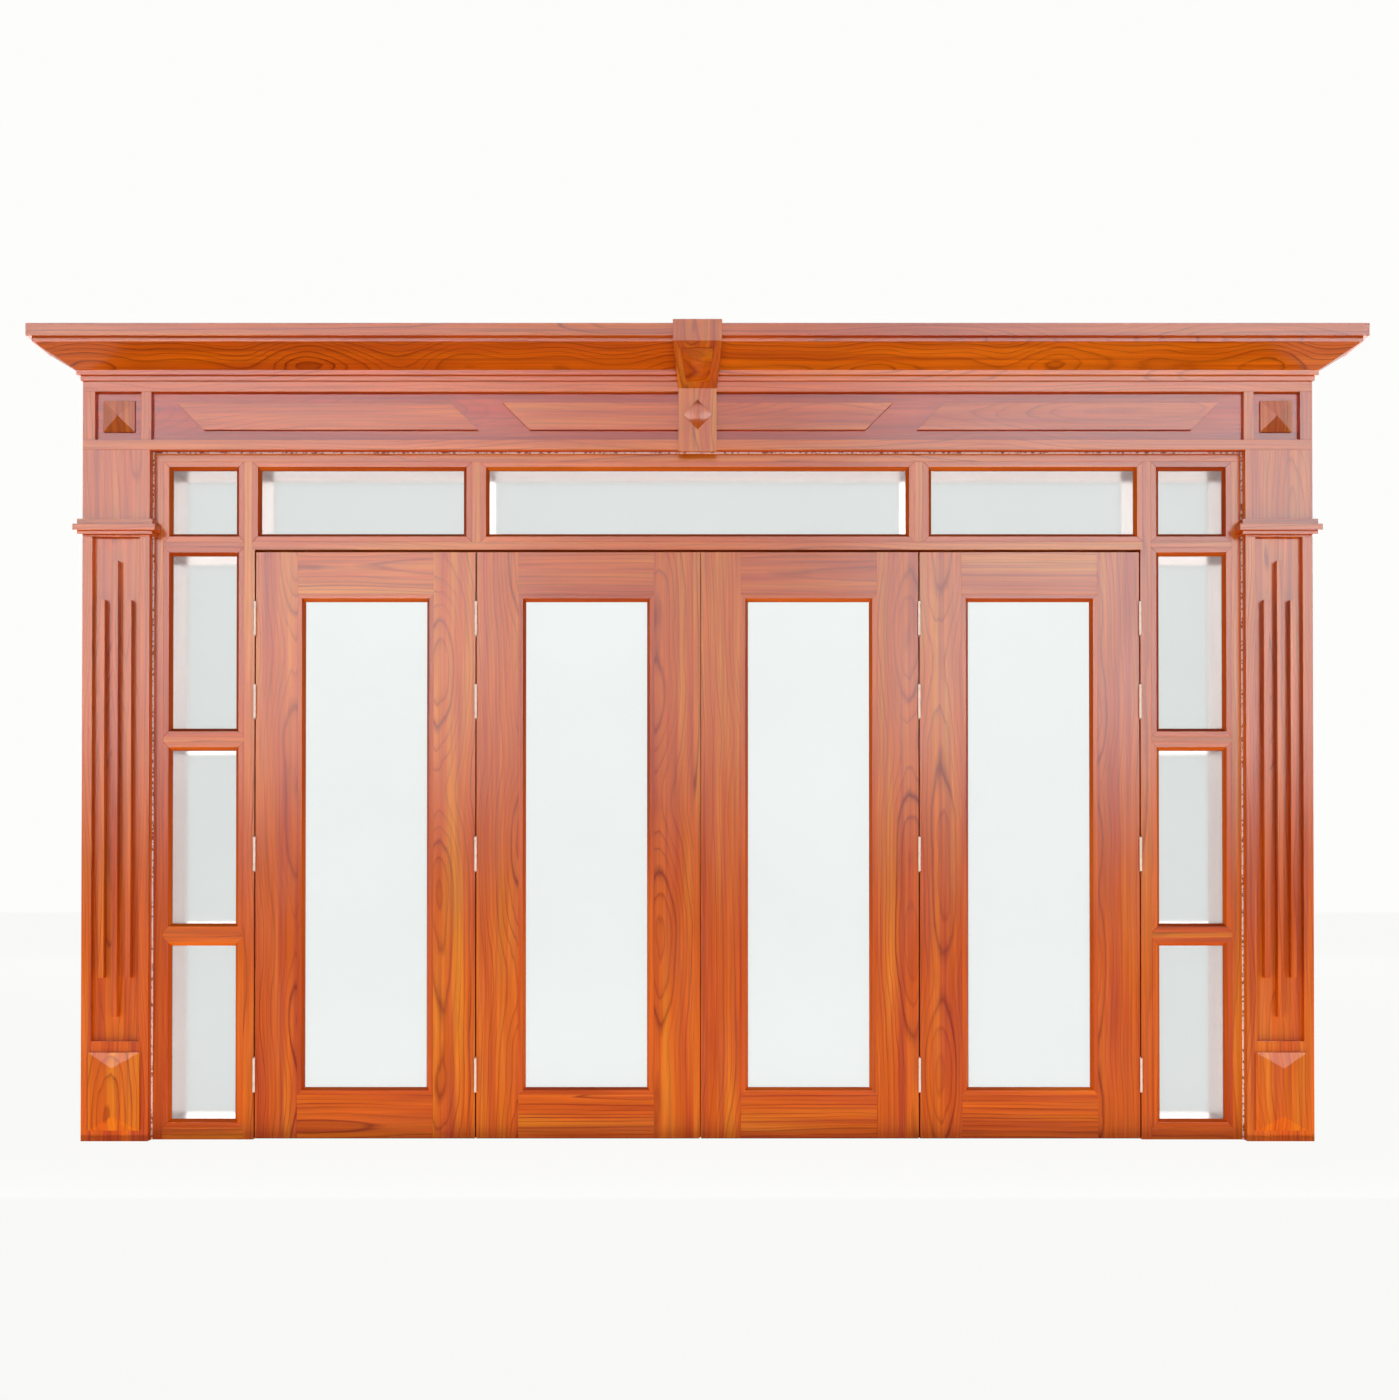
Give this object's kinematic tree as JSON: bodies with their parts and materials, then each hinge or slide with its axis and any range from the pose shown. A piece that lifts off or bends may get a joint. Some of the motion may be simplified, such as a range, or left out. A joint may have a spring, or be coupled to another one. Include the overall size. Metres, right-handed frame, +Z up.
{
  "type": "door with sidelights",
  "caption": "Timber doorway with hinged glazed leaves between sidelights under a row of transom lights, in a surround of pilasters, frieze, cornice and keystone.",
  "frame": {"origin": "foot of the left outer post, on its outer face that stands against the wall reveal, at the post's front edge, which is in the plane of the wall's face", "axes": "+X from the left post to the right post as seen by someone in front, +Y from the front to the back through the wall, +Z up"},
  "size_m": [4.896, 0.42, 3.008],
  "materials": {
    "frame_wood": "gloss varnish over red-brown hardwood",
    "leaf_wood": "gloss varnish over red-brown hardwood",
    "surround_wood": "gloss varnish over red-brown hardwood",
    "bead_wood": "gloss varnish over red-brown hardwood",
    "pale_glass": "pale translucent, smooth",
    "hinge_steel": "satin",
    "sealant": "matt pale sealant"
  },
  "bodies": {
    "root": {"cornice_bed_moulding": "surround_wood", "cornice_core": "surround_wood", "cornice_fascia": "surround_wood", "cornice_soffit": "surround_wood", "cornice_top_board": "surround_wood", "door_stops": "frame_wood", "frame_head": "frame_wood", "frieze_board": "surround_wood", "frieze_corner_pyramids": "surround_wood", "frieze_lozenges": "surround_wood", "frieze_rails": "surround_wood", "frieze_uprights": "surround_wood", "jamb_hinges": "hinge_steel", "keystone_block": "surround_wood", "keystone_plate": "surround_wood", "keystone_raised_panels": "surround_wood", "left_jamb_post": "frame_wood", "left_outer_post": "frame_wood", "perimeter_seal": "sealant", "pilaster_base_panels": "surround_wood", "pilaster_caps": "surround_wood", "pilaster_edge_boards": "surround_wood", "pilaster_heads": "surround_wood", "pilaster_plinths": "surround_wood", "pilaster_reeds": "surround_wood", "pilaster_sunk_panels": "surround_wood", "right_jamb_post": "frame_wood", "right_outer_post": "frame_wood", "sidelight_beads": "bead_wood", "sidelight_glass": "pale_glass", "sidelight_linings": "frame_wood", "sidelight_rails": "frame_wood", "transom_beads": "bead_wood", "transom_glass": "pale_glass", "transom_linings": "frame_wood", "transom_mullions": "frame_wood", "transom_rail": "frame_wood"},
    "leaf_1": {"leaf_1_beads": "bead_wood", "leaf_1_glass": "pale_glass", "leaf_1_hinges": "hinge_steel", "leaf_1_rails": "leaf_wood", "leaf_1_stiles": "leaf_wood"},
    "leaf_2": {"leaf_2_beads": "bead_wood", "leaf_2_glass": "pale_glass", "leaf_2_hinges": "hinge_steel", "leaf_2_rails": "leaf_wood", "leaf_2_stiles": "leaf_wood"},
    "leaf_3": {"leaf_3_beads": "bead_wood", "leaf_3_glass": "pale_glass", "leaf_3_hinges": "hinge_steel", "leaf_3_rails": "leaf_wood", "leaf_3_stiles": "leaf_wood"},
    "leaf_4": {"leaf_4_beads": "bead_wood", "leaf_4_glass": "pale_glass", "leaf_4_hinges": "hinge_steel", "leaf_4_rails": "leaf_wood", "leaf_4_stiles": "leaf_wood"}
  },
  "joints": [
    {"name": "leaf_1_hinge", "type": "hinge", "parent": "root", "child": "leaf_1", "pos_m": [0.3915, -0.0065, 0], "axis": [0, 0, -1], "range_deg": [0, 90]},
    {"name": "leaf_2_fold", "type": "hinge", "parent": "leaf_1", "child": "leaf_2", "pos_m": [1.22, -0.0065, 0], "axis": [0, 0, -1], "range_deg": [0, 170]},
    {"name": "leaf_4_hinge", "type": "hinge", "parent": "root", "child": "leaf_4", "pos_m": [3.7105, -0.0065, 0], "axis": [0, 0, 1], "range_deg": [0, 90]},
    {"name": "leaf_3_fold", "type": "hinge", "parent": "leaf_4", "child": "leaf_3", "pos_m": [2.882, -0.0065, 0], "axis": [0, 0, 1], "range_deg": [0, 170]}
  ]
}
